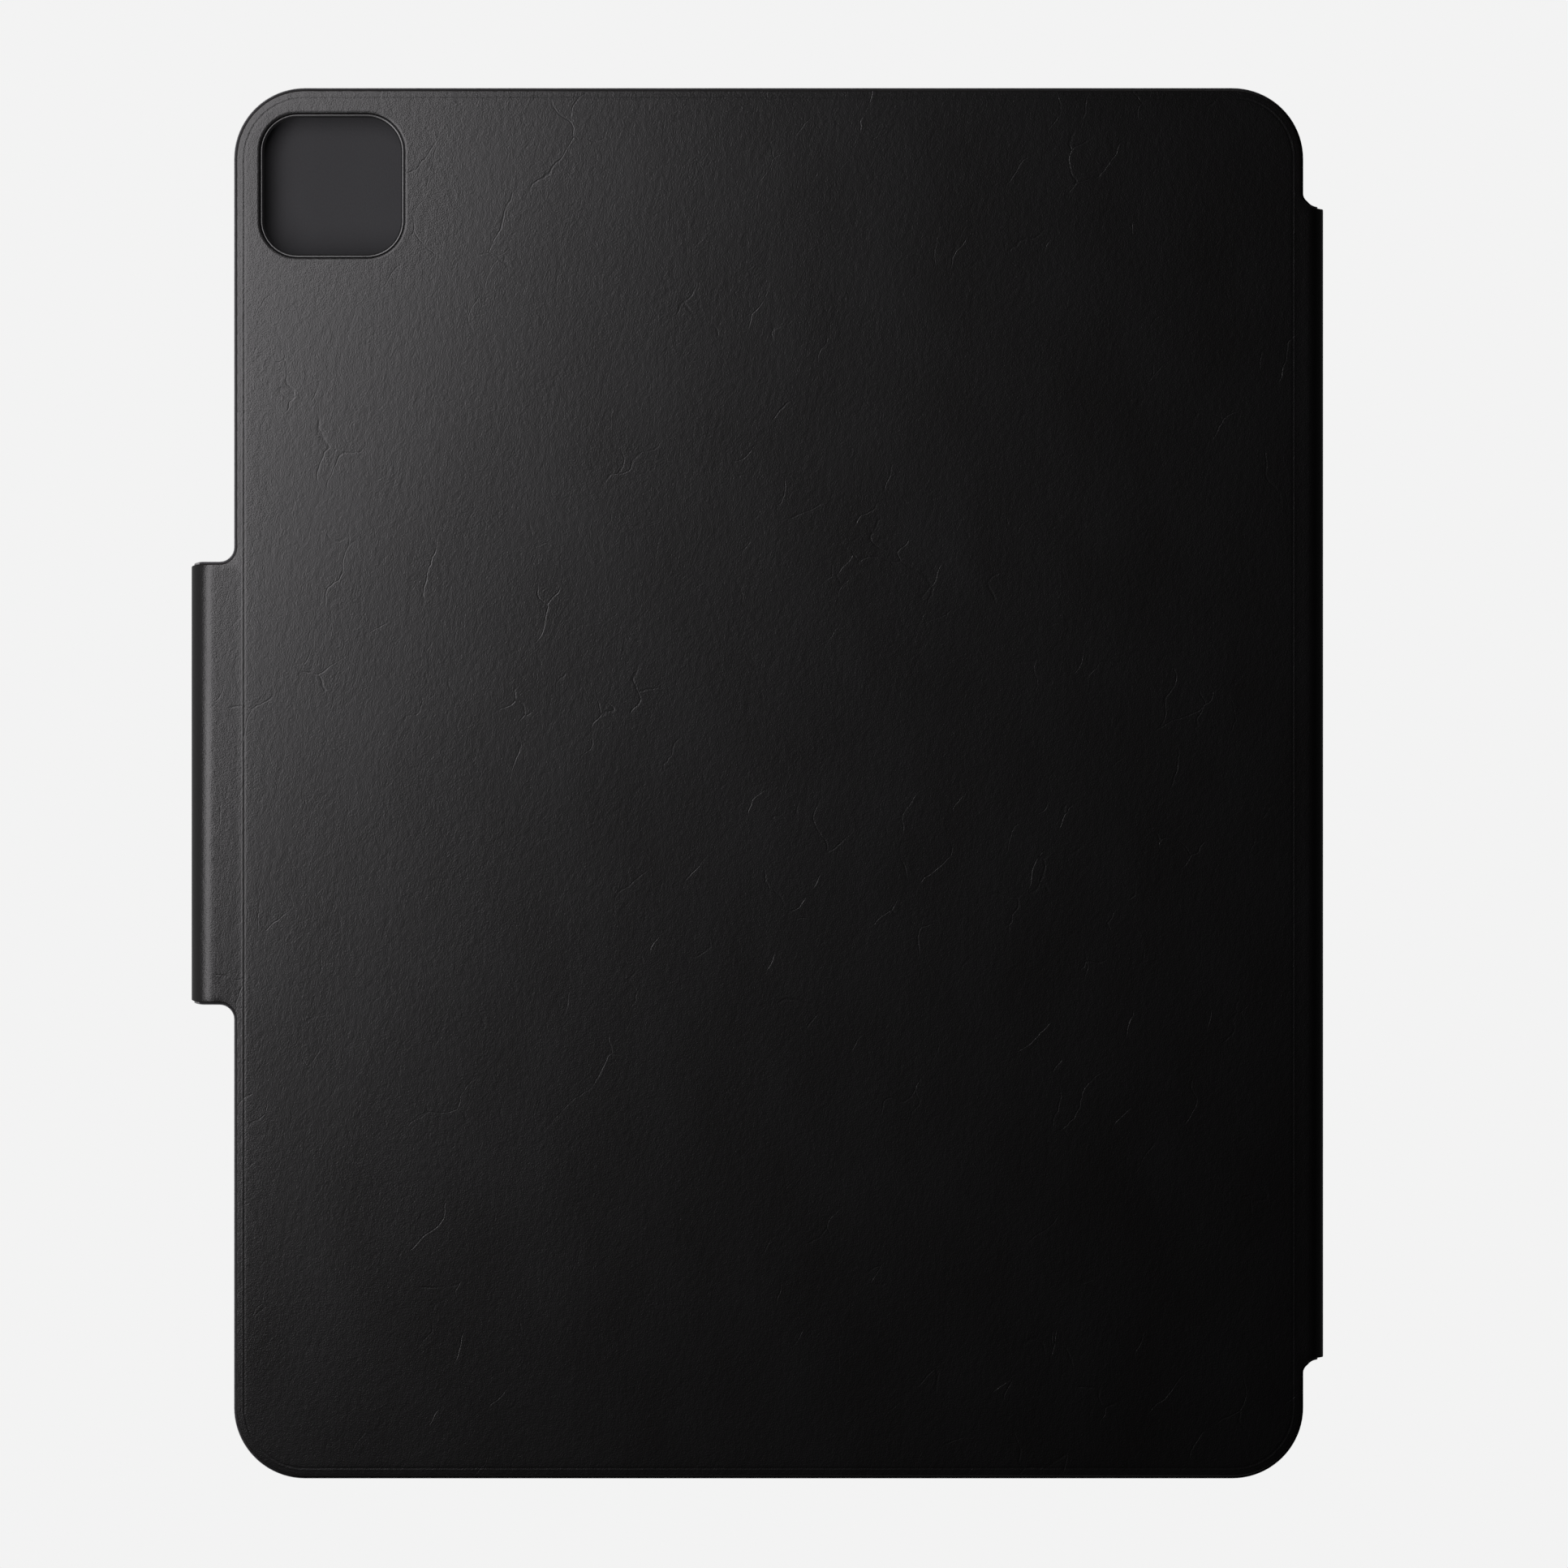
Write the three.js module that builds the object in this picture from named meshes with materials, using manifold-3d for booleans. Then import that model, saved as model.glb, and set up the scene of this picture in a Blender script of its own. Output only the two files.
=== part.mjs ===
// Magnetic folio case for a 13-inch tablet, lying closed on its front cover with its back up.
// Millimetres, +Z up. X runs from the stylus flap (-X) to the spine (+X), and Y along the spine.
// The origin is under the middle of the case, on the surface that it lies on.
import * as THREE from "three";
import { mergeVertices } from "three/addons/utils/BufferGeometryUtils.js";
import Module from "manifold-3d";

const wasm = await Module();
wasm.setup();

// ---------------------------------------------------------------- driving dimensions
const PANEL_WIDTH = 215.7;
const PANEL_LENGTH = 280.5;
const CORNER_RADIUS = 14.3;
const RIM = 0.5; // the lining shows this far past the leather's cut edge
const BOARD_INSET = 2.6; // from the outline to the stiffener board's edge

const LEATHER = 1.1;
const BOARD = 1.0;
const LINING = 0.4;
const GLUE = 0.05; // adhesive between two layers, and the seam between two strips
const BAY_HEIGHT = 5.4; // room for a 5.1 mm tablet

const SPINE_REACH = 4.1; // how far the spine stands out past the panels
const SPINE_LENGTH = 232.7;
const SPINE_FILLET = 2.6; // the part of the length that its hollow corners take
const SPINE_ROLL = 3.2; // outer radius of the leather where it turns a corner
const SPINE_BOARD = 0.6;

const FLAP_REACH = 8.7; // how far the stylus flap stands out past the panels
const FLAP_LENGTH = 89.4;
const FLAP_FILLET = 2.9;
const FLAP_ROLL = 4.4;
const FLAP_LEATHER = 0.5; // the leather is skived where it wraps the stylus
const FLAP_BOARD = 0.8;
const FLAP_LINING = 0.3;
const LATCH_ROLL = 3.0; // outer radius where the flap turns under the front cover
const TONGUE_REACH = 24; // from the flap's wall to the end of its tongue
const TONGUE_RADIUS = 5;
const TONGUE_GAP = 0.3; // between the tongue and the closed cover

const COVER_EDGE_INSET = 1.15; // the cover's free edge stays clear of the stylus
const COVER_PANELS = { inner: 74, middle: 71 }; // the outer panel takes the rest
const FOLD_GAP = 3; // between the boards' leather faces at each fold line

const WINDOW = { x: -88, y: 120.5, size: 29.1, radius: 7.6 }; // from the panel's centre
const WINDOW_RING_WALL = 0.6;
const WINDOW_RING_GAP = 0.1;

const MAGNET_CLEARANCE = 0.1;
const BACK_MAGNET = { width: 10, length: 30, x: 86, rows: [-75, -25, 25, 75] };
const CLOSURE_MAGNET = { width: 6, length: 22, y: 24, inset: 6.8 };
const STAND_MAGNET = { width: 6, length: 30, y: 95, inset: 9 };
const WAKE_MAGNET = { size: 5, y: 60, inset: 14 };

const ARC_STEPS = 8;

// ---------------------------------------------------------------- places worked out from them
const PANEL_STACK = LEATHER + BOARD + LINING + 2 * GLUE;
const TONGUE_STACK = FLAP_LEATHER + FLAP_BOARD + FLAP_LINING + 2 * GLUE;

const COVER_LOW = TONGUE_STACK + TONGUE_GAP;
const COVER_HIGH = COVER_LOW + PANEL_STACK;
const BACK_LOW = COVER_HIGH + BAY_HEIGHT;
const BACK_HIGH = BACK_LOW + PANEL_STACK;

const PANEL_X = (FLAP_REACH - SPINE_REACH) / 2;
const LEFT = PANEL_X - PANEL_WIDTH / 2;
const RIGHT = PANEL_X + PANEL_WIDTH / 2;
const HALF_LENGTH = PANEL_LENGTH / 2;
const SPINE_OUT = RIGHT + SPINE_REACH;
const SPINE_TURN = SPINE_OUT - SPINE_ROLL; // where the leather starts to roll down
const FLAP_OUT = LEFT - FLAP_REACH;
const FLAP_TURN = FLAP_OUT + FLAP_ROLL;
const LATCH_TURN = FLAP_OUT + LATCH_ROLL;
const TONGUE_END = FLAP_OUT + TONGUE_REACH;

const COVER_LEFT = LEFT + COVER_EDGE_INSET;
const FOLD_INNER = RIGHT - COVER_PANELS.inner;
const FOLD_OUTER = FOLD_INNER - COVER_PANELS.middle;

// ---------------------------------------------------------------- solids
function solidOf(geometry) {
  const bare = geometry.clone();
  bare.deleteAttribute("normal");
  bare.deleteAttribute("uv");
  const merged = mergeVertices(bare);
  return new wasm.Manifold(
    new wasm.Mesh({
      numProp: 3,
      vertProperties: merged.attributes.position.array,
      triVerts: new Uint32Array(merged.index.array),
    }),
  );
}

function geometryOf(solid) {
  const mesh = solid.getMesh();
  const geometry = new THREE.BufferGeometry();
  geometry.setAttribute("position", new THREE.BufferAttribute(mesh.vertProperties, mesh.numProp));
  geometry.setIndex(new THREE.BufferAttribute(mesh.triVerts, 1));
  geometry.computeVertexNormals();
  return geometry;
}

// A block between two corners.
function block(low, high) {
  const size = high.map((value, axis) => value - low[axis]);
  const middle = high.map((value, axis) => (value + low[axis]) / 2);
  return new THREE.BoxGeometry(...size).translate(...middle);
}

// A flat layer of the given outline.
function layer(shape, low, thickness) {
  const options = { depth: thickness, bevelEnabled: false, curveSegments: ARC_STEPS };
  return new THREE.ExtrudeGeometry(shape, options).translate(0, 0, low);
}

// A strip along Y whose section is drawn with X to the right and Z up.
function strip(section, length) {
  const options = { depth: length, bevelEnabled: false, curveSegments: ARC_STEPS };
  const geometry = new THREE.ExtrudeGeometry(section, options);
  return geometry.rotateX(Math.PI / 2).translate(0, length / 2, 0);
}

// The part of a layer that lies between two X values.
function cutAcross(geometry, xLow, xHigh) {
  const tall = BACK_HIGH + PANEL_STACK;
  const knife = block([xLow, -PANEL_LENGTH, -tall], [xHigh, PANEL_LENGTH, tall]);
  return geometryOf(solidOf(geometry).intersect(solidOf(knife)));
}

function joined(first, second) {
  return geometryOf(solidOf(first).add(solidOf(second)));
}

// A board with a pocket right through it for each magnet.
function withPockets(board, magnets) {
  const deep = PANEL_LENGTH;
  const pockets = magnets.map(({ x, y, width, length }) => {
    const across = width / 2 + MAGNET_CLEARANCE;
    const along = length / 2 + MAGNET_CLEARANCE;
    return solidOf(block([x - across, y - along, -deep], [x + across, y + along, deep]));
  });
  return geometryOf(pockets.reduce((rest, pocket) => rest.subtract(pocket), solidOf(board)));
}

// ---------------------------------------------------------------- outlines
function roundedRectangle(Kind, x, y, width, length, radius) {
  const path = new Kind();
  const across = width / 2 - radius;
  const along = length / 2 - radius;
  const quarter = Math.PI / 2;
  path.absarc(x + across, y - along, radius, -quarter, 0, false);
  path.absarc(x + across, y + along, radius, 0, quarter, false);
  path.absarc(x - across, y + along, radius, quarter, 2 * quarter, false);
  path.absarc(x - across, y - along, radius, 2 * quarter, 3 * quarter, false);
  path.closePath();
  return path;
}

// A panel with rounded corners. On its right edge a neck with hollow corners leads to the spine, and
// with a flap its left edge has a neck to the stylus flap. Inset moves every free edge inwards.
function panelOutline({ left, inset, spineEnd, flapEnd }) {
  const shape = new THREE.Shape();
  const quarter = Math.PI / 2;
  const low = left + inset;
  const high = RIGHT - inset;
  const half = HALF_LENGTH - inset;
  const radius = CORNER_RADIUS - inset;
  const fillet = { x: SPINE_REACH + inset, y: SPINE_FILLET + inset };
  const filletY = SPINE_LENGTH / 2 - inset + fillet.y;
  const swept = Math.acos((SPINE_OUT - spineEnd) / fillet.x);

  shape.moveTo(low + radius, -half);
  shape.absarc(high - radius, -half + radius, radius, -quarter, 0, false);
  shape.absellipse(SPINE_OUT, -filletY, fillet.x, fillet.y, Math.PI, Math.PI - swept, true);
  shape.absellipse(SPINE_OUT, filletY, fillet.x, fillet.y, swept - Math.PI, -Math.PI, true);
  shape.absarc(high - radius, half - radius, radius, 0, quarter, false);
  shape.absarc(low + radius, half - radius, radius, quarter, 2 * quarter, false);
  if (flapEnd !== undefined) {
    const flapHalf = FLAP_LENGTH / 2 - inset;
    const hollow = FLAP_FILLET + inset;
    shape.absarc(low - hollow, flapHalf + hollow, hollow, 0, -quarter, true);
    shape.lineTo(flapEnd, flapHalf);
    shape.lineTo(flapEnd, -flapHalf);
    shape.absarc(low - hollow, -flapHalf - hollow, hollow, quarter, 0, true);
  }
  shape.absarc(low + radius, -half + radius, radius, 2 * quarter, 3 * quarter, false);
  shape.closePath();
  return shape;
}

function windowPath(size) {
  const radius = WINDOW.radius - (WINDOW.size - size) / 2;
  return roundedRectangle(THREE.Path, PANEL_X + WINDOW.x, WINDOW.y, size, size, radius);
}

// A quarter turn of a bent sheet: from the angle start, a quarter anticlockwise in the XZ section.
function quarterTurn(x, z, outer, thickness, start) {
  const section = new THREE.Shape();
  const end = start + Math.PI / 2;
  section.absarc(x, z, outer, start, end, false);
  section.absarc(x, z, outer - thickness, end, start, true);
  section.closePath();
  return section;
}

// ---------------------------------------------------------------- finishes
const finish = (color, roughness, metalness) => ({ color, roughness, metalness });
const LEATHER_FINISH = finish(0x1c1b1c, 0.55, 0);
const LINING_FINISH = finish(0x2e2f32, 0.95, 0);
const BOARD_FINISH = finish(0x4a4a46, 0.8, 0);
const MAGNET_FINISH = finish(0xb5b5b8, 0.3, 1);
const RING_FINISH = finish(0x111112, 0.5, 0);

const tabletCase = new THREE.Group();
tabletCase.name = "tablet_case";

function bodyGroup(name) {
  const group = new THREE.Group();
  group.name = name;
  tabletCase.add(group);
  return group;
}

function addPiece(group, name, geometry, look) {
  const mesh = new THREE.Mesh(geometry, new THREE.MeshStandardMaterial(look));
  mesh.name = name;
  group.add(mesh);
}

function addMagnet(group, name, magnet, low, boardThickness) {
  const thickness = boardThickness - MAGNET_CLEARANCE;
  const geometry = new THREE.BoxGeometry(magnet.width, magnet.length, thickness);
  const mesh = new THREE.Mesh(geometry, new THREE.MeshStandardMaterial(MAGNET_FINISH));
  mesh.position.set(magnet.x, magnet.y, low + boardThickness / 2);
  mesh.name = name;
  group.add(mesh);
}

// ---------------------------------------------------------------- magnets
const backMagnets = [-1, 1].flatMap((side) =>
  BACK_MAGNET.rows.map((y) => ({ ...BACK_MAGNET, x: PANEL_X + side * BACK_MAGNET.x, y })),
);
const closureMagnets = [-1, 1].map((side) => ({
  ...CLOSURE_MAGNET,
  x: TONGUE_END - CLOSURE_MAGNET.inset,
  y: side * CLOSURE_MAGNET.y,
}));
const standMagnets = (x) => [-1, 1].map((side) => ({ ...STAND_MAGNET, x, y: side * STAND_MAGNET.y }));
const innerStandMagnets = standMagnets(RIGHT - STAND_MAGNET.inset);
const outerStandMagnets = standMagnets(COVER_LEFT + STAND_MAGNET.inset);
const wakeMagnet = {
  width: WAKE_MAGNET.size,
  length: WAKE_MAGNET.size,
  x: COVER_LEFT + WAKE_MAGNET.inset,
  y: WAKE_MAGNET.y,
};

// ---------------------------------------------------------------- back panel
const BACK_LINING_TOP = BACK_LOW + LINING;
const BACK_BOARD_LOW = BACK_LINING_TOP + GLUE;
const BACK_LEATHER_LOW = BACK_HIGH - LEATHER;

function backLeather() {
  const outline = panelOutline({ left: LEFT, inset: RIM, spineEnd: SPINE_TURN - GLUE });
  outline.holes.push(windowPath(WINDOW.size));
  const panel = layer(outline, BACK_LEATHER_LOW, LEATHER);
  const withNeck = panelOutline({
    left: LEFT,
    inset: RIM,
    spineEnd: SPINE_TURN - GLUE,
    flapEnd: FLAP_TURN + GLUE,
  });
  withNeck.holes.push(windowPath(WINDOW.size));
  return joined(panel, layer(withNeck, BACK_HIGH - FLAP_LEATHER, FLAP_LEATHER));
}

function boardOutline(left, right) {
  const width = right - left;
  const length = PANEL_LENGTH - 2 * BOARD_INSET;
  const radius = CORNER_RADIUS - BOARD_INSET;
  return roundedRectangle(THREE.Shape, (left + right) / 2, 0, width, length, radius);
}

function backBoard() {
  const outline = boardOutline(LEFT + BOARD_INSET, RIGHT - BOARD_INSET);
  outline.holes.push(windowPath(WINDOW.size));
  return withPockets(layer(outline, BACK_BOARD_LOW, BOARD), backMagnets);
}

function backLining() {
  const outline = panelOutline({ left: LEFT, inset: 0, spineEnd: SPINE_TURN - GLUE });
  outline.holes.push(windowPath(WINDOW.size));
  return layer(outline, BACK_LOW, LINING);
}

function cameraRing() {
  const outer = WINDOW.size - 2 * WINDOW_RING_GAP;
  const radius = WINDOW.radius - WINDOW_RING_GAP;
  const x = PANEL_X + WINDOW.x;
  const shape = roundedRectangle(THREE.Shape, x, WINDOW.y, outer, outer, radius);
  shape.holes.push(windowPath(outer - 2 * WINDOW_RING_WALL));
  return layer(shape, BACK_LOW, PANEL_STACK - LEATHER / 2);
}

const back = bodyGroup("back_panel");
addPiece(back, "back_leather", backLeather(), LEATHER_FINISH);
addPiece(back, "back_board", backBoard(), BOARD_FINISH);
addPiece(back, "back_lining", backLining(), LINING_FINISH);
addPiece(back, "camera_ring", cameraRing(), RING_FINISH);
backMagnets.forEach((magnet, index) => {
  addMagnet(back, `back_magnet_${index + 1}`, magnet, BACK_BOARD_LOW, BOARD);
});

// The neck's lining lies close under the skived leather, so that a stylus has room below it.
function neckLining() {
  const top = BACK_HIGH - FLAP_LEATHER - GLUE;
  const low = [FLAP_TURN + GLUE, -FLAP_LENGTH / 2, top - FLAP_LINING];
  return block(low, [LEFT + RIM - GLUE, FLAP_LENGTH / 2, top]);
}
addPiece(back, "flap_neck_lining", neckLining(), LINING_FINISH);

// ---------------------------------------------------------------- spine
const TOP_TURN_Z = BACK_HIGH - SPINE_ROLL;
const BOTTOM_TURN_Z = COVER_LOW + SPINE_ROLL;
const ROLL_LINING_OUTER = SPINE_ROLL - LEATHER - GLUE;
const SPINE_BOARD_OUT = SPINE_OUT - LEATHER - GLUE;
const SPINE_LINING_OUT = SPINE_BOARD_OUT - SPINE_BOARD - GLUE;

function spineWall(outX, thickness, length) {
  const low = [outX - thickness, -length / 2, BOTTOM_TURN_Z + GLUE];
  return block(low, [outX, length / 2, TOP_TURN_Z - GLUE]);
}

function spineTurn(z, outer, thickness, start, length) {
  return strip(quarterTurn(SPINE_TURN, z, outer, thickness, start), length);
}

const LEATHER_SPINE_LENGTH = SPINE_LENGTH - 2 * RIM;
const spine = bodyGroup("spine");
addPiece(spine, "spine_leather", spineWall(SPINE_OUT, LEATHER, LEATHER_SPINE_LENGTH), LEATHER_FINISH);
addPiece(
  spine,
  "spine_board",
  spineWall(SPINE_BOARD_OUT, SPINE_BOARD, SPINE_LENGTH - 2 * BOARD_INSET),
  BOARD_FINISH,
);
addPiece(spine, "spine_lining", spineWall(SPINE_LINING_OUT, LINING, SPINE_LENGTH), LINING_FINISH);
for (const [name, z, start] of [
  ["spine_roll", TOP_TURN_Z, 0],
  ["cover_roll", BOTTOM_TURN_Z, -Math.PI / 2],
]) {
  const leather = spineTurn(z, SPINE_ROLL, LEATHER, start, LEATHER_SPINE_LENGTH);
  const lining = spineTurn(z, ROLL_LINING_OUTER, LINING, start, SPINE_LENGTH);
  addPiece(spine, `${name}_leather`, leather, LEATHER_FINISH);
  addPiece(spine, `${name}_lining`, lining, LINING_FINISH);
}

// ---------------------------------------------------------------- front cover
const COVER_BOARD_LOW = COVER_LOW + LEATHER + GLUE;
const COVER_LINING_LOW = COVER_HIGH - LINING;
const FAR = PANEL_WIDTH;

const outerMagnets = [...closureMagnets, ...outerStandMagnets, wakeMagnet];
const HALF_GAP = FOLD_GAP / 2;
const coverPanels = [
  { name: "cover_inner", low: FOLD_INNER + HALF_GAP, high: FAR, magnets: innerStandMagnets },
  { name: "cover_middle", low: FOLD_OUTER + HALF_GAP, high: FOLD_INNER - HALF_GAP, magnets: [] },
  { name: "cover_outer", low: -FAR, high: FOLD_OUTER - HALF_GAP, magnets: outerMagnets },
];

function coverLayer(inset, low, thickness) {
  const outline = panelOutline({ left: COVER_LEFT, inset, spineEnd: SPINE_TURN - GLUE });
  return layer(outline, low, thickness);
}

function coverBoard(magnets) {
  const outline = boardOutline(COVER_LEFT + BOARD_INSET, RIGHT - BOARD_INSET);
  return withPockets(layer(outline, COVER_BOARD_LOW, BOARD), magnets);
}

for (const panel of coverPanels) {
  const group = bodyGroup(panel.name);
  const leather = cutAcross(coverLayer(RIM, COVER_LOW, LEATHER), panel.low, panel.high);
  const board = cutAcross(coverBoard(panel.magnets), panel.low, panel.high);
  const lining = cutAcross(coverLayer(0, COVER_LINING_LOW, LINING), panel.low, panel.high);
  addPiece(group, `${panel.name}_leather`, leather, LEATHER_FINISH);
  addPiece(group, `${panel.name}_board`, board, BOARD_FINISH);
  addPiece(group, `${panel.name}_lining`, lining, LINING_FINISH);
  panel.magnets.forEach((magnet, index) => {
    addMagnet(group, `${panel.name}_magnet_${index + 1}`, magnet, COVER_BOARD_LOW, BOARD);
  });
}

// Between the panels only the leather and the lining run on, and they bend.
for (const [name, x] of [
  ["fold_inner", FOLD_INNER],
  ["fold_outer", FOLD_OUTER],
]) {
  const low = x - HALF_GAP + GLUE;
  const high = x + HALF_GAP - GLUE;
  const group = bodyGroup(name);
  const leather = cutAcross(coverLayer(RIM, COVER_LOW, LEATHER), low, high);
  const lining = cutAcross(coverLayer(0, COVER_LINING_LOW, LINING), low, high);
  addPiece(group, `${name}_leather`, leather, LEATHER_FINISH);
  addPiece(group, `${name}_lining`, lining, LINING_FINISH);
}

// ---------------------------------------------------------------- stylus flap
const FLAP_TURN_Z = BACK_HIGH - FLAP_ROLL;
const LATCH_TURN_Z = LATCH_ROLL;
const FLAP_LEATHER_LENGTH = FLAP_LENGTH - 2 * RIM;

function flapWall(outX, thickness, length) {
  const low = [outX, -length / 2, LATCH_TURN_Z + GLUE];
  return block(low, [outX + thickness, length / 2, FLAP_TURN_Z - GLUE]);
}

const FLAP_LINING_OUT = FLAP_OUT + FLAP_LEATHER + GLUE;
const flapSide = bodyGroup("flap_side");
addPiece(flapSide, "flap_leather", flapWall(FLAP_OUT, FLAP_LEATHER, FLAP_LEATHER_LENGTH), LEATHER_FINISH);
addPiece(flapSide, "flap_lining", flapWall(FLAP_LINING_OUT, FLAP_LINING, FLAP_LENGTH), LINING_FINISH);
for (const [name, x, z, outer, start] of [
  ["flap_roll", FLAP_TURN, FLAP_TURN_Z, FLAP_ROLL, Math.PI / 2],
  ["latch_roll", LATCH_TURN, LATCH_TURN_Z, LATCH_ROLL, Math.PI],
]) {
  const leather = quarterTurn(x, z, outer, FLAP_LEATHER, start);
  const lining = quarterTurn(x, z, outer - FLAP_LEATHER - GLUE, FLAP_LINING, start);
  addPiece(flapSide, `${name}_leather`, strip(leather, FLAP_LEATHER_LENGTH), LEATHER_FINISH);
  addPiece(flapSide, `${name}_lining`, strip(lining, FLAP_LENGTH), LINING_FINISH);
}

// The tongue is the end of the flap, square where the flap turns and rounded at its free corners.
function tongueLayer(inset, low, thickness) {
  const length = FLAP_LENGTH - 2 * inset;
  const right = TONGUE_END - inset;
  const radius = TONGUE_RADIUS - inset;
  const left = LATCH_TURN - 2 * TONGUE_RADIUS;
  const middle = (left + right) / 2;
  const outline = roundedRectangle(THREE.Shape, middle, 0, right - left, length, radius);
  return cutAcross(layer(outline, low, thickness), LATCH_TURN + GLUE, right + radius);
}

function tongueBoard(low) {
  const left = LATCH_TURN + BOARD_INSET;
  const right = TONGUE_END - BOARD_INSET;
  const length = FLAP_LENGTH - 2 * BOARD_INSET;
  const radius = TONGUE_RADIUS - BOARD_INSET;
  const middle = (left + right) / 2;
  const outline = roundedRectangle(THREE.Shape, middle, 0, right - left, length, radius);
  return withPockets(layer(outline, low, FLAP_BOARD), closureMagnets);
}

const TONGUE_BOARD_LOW = FLAP_LEATHER + GLUE;
const tongue = bodyGroup("flap_tongue");
addPiece(tongue, "tongue_leather", tongueLayer(RIM, 0, FLAP_LEATHER), LEATHER_FINISH);
addPiece(tongue, "tongue_board", tongueBoard(TONGUE_BOARD_LOW), BOARD_FINISH);
addPiece(
  tongue,
  "tongue_lining",
  tongueLayer(0, TONGUE_STACK - FLAP_LINING, FLAP_LINING),
  LINING_FINISH,
);
closureMagnets.forEach((magnet, index) => {
  addMagnet(tongue, `tongue_magnet_${index + 1}`, magnet, TONGUE_BOARD_LOW, FLAP_BOARD);
});

export default tabletCase;
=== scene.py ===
"""Looks of the magnetic tablet case: leather, lining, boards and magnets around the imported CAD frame.

The leather and the lining are each one sheet that wraps from the flap's tongue over the back and round
the spine to the front cover. A piece of it is drawn flat, by s along the sheet and v across it (Y), with
a height off a reference surface, and is then bent round its turns. Lengths are millimetres until
mesh_object() scales them.
"""

import math
from collections import namedtuple

import bpy
import numpy as np
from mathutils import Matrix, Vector, noise
from mathutils.geometry import delaunay_2d_cdt


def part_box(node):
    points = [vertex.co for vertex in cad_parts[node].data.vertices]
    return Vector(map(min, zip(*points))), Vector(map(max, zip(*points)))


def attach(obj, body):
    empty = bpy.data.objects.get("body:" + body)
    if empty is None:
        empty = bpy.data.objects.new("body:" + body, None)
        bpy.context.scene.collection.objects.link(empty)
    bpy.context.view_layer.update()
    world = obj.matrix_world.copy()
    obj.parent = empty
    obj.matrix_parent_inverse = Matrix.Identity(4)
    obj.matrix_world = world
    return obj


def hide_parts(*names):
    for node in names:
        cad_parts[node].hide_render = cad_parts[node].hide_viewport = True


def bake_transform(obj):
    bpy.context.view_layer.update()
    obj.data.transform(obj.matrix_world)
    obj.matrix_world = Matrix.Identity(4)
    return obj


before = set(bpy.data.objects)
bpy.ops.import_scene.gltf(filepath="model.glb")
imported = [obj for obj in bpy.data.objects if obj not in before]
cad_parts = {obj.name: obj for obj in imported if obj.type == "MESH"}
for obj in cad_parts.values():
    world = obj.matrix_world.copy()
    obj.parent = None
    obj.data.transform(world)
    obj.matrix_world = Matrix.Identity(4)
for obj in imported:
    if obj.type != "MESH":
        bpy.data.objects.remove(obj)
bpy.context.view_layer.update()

MM = 0.001
QUARTER = math.pi / 2
Point = namedtuple("Point", "x y z")


def cad_box(node):
    """The lowest and highest corner of a CAD node, in millimetres."""
    return [Point(*(round(value / MM, 3) for value in corner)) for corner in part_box(node)]


def cad_middle(node):
    low, high = cad_box(node)
    return Point(*((a + b) / 2 for a, b in zip(low, high)))


# ---------------------------------------------------------------- sizes
RIM = 0.5  # the lining shows this far past the leather's cut edge
LEATHER = 1.1
FLAP_LEATHER = 0.5
LINING = 0.4
FLAP_LINING = 0.3
GLUE = 0.05
CORNER_RADIUS = 14.3
BOARD_INSET = 2.6
SPINE_FILLET = 2.6
FLAP_FILLET = 2.9
FLAP_TAPER = 0.35  # how much each end of the flap draws in as it rolls down
TONGUE_RADIUS = 5.0
PLATEAU = 0.05  # how far the board lifts the leather above its flat border
BOARD_STEP = 0.97  # how much lower the lining lies under a panel's board than beside it
SPINE_BOARD_STEP = 0.65
TONGUE_BOARD_STEP = 0.85

LEFT = cad_box("back_lining")[0].x
HALF_LENGTH = cad_box("back_lining")[1].y
RIGHT = cad_box("back_board")[1].x + BOARD_INSET
BACK_HIGH = cad_box("back_leather")[1].z
COVER_LOW = cad_box("cover_middle_leather")[0].z
COVER_LEFT = cad_box("cover_outer_lining")[0].x
SPINE_TURN = cad_box("spine_roll_leather")[0].x
SPINE_OUT = cad_box("spine_leather")[1].x
SPINE_HALF = cad_box("spine_lining")[1].y
FLAP_TURN = cad_box("flap_roll_leather")[1].x
FLAP_OUT = cad_box("flap_leather")[0].x
FLAP_HALF = cad_box("flap_lining")[1].y
LATCH_TURN = cad_box("latch_roll_leather")[1].x
TONGUE_END = cad_box("tongue_lining")[1].x
FOLD_INNER = cad_middle("fold_inner_leather").x
FOLD_OUTER = cad_middle("fold_outer_leather").x

SPINE_REACH = SPINE_OUT - RIGHT
SPINE_ROLL = SPINE_OUT - SPINE_TURN
FLAP_ROLL = FLAP_TURN - FLAP_OUT
LATCH_ROLL = LATCH_TURN - FLAP_OUT
FLANGE_TOP = BACK_HIGH - PLATEAU  # the reference surface of the back's leather
FLANGE_LOW = COVER_LOW + PLATEAU  # and of the cover's

# Insets from the outline, and the leather's height there: a flat border, a lip, a groove and the rise.
BORDER_PROFILE = (
    (1.42, 0.0),
    (1.50, 0.006),
    (1.66, 0.029),
    (1.76, 0.036),
    (1.84, 0.032),
    (2.04, 0.003),
    (2.12, -0.002),
    (2.20, 0.005),
    (2.36, 0.030),
    (2.46, 0.039),
    (2.60, 0.042),
    (3.20, PLATEAU),
)
UNDER_RAMP = (2.10, 2.50)  # insets between which the leather's underside rises onto the board
LINING_RAMP = (1.90, 2.12, 2.34, 2.55)  # insets over which the lining steps down under the board
EDGE_ROUND = 0.25  # radius of the leather's cut edge
LINING_EDGE_ROUND = 0.12
PAINTED = 0.2  # how far the edge paint creeps over the leather's face
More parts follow.
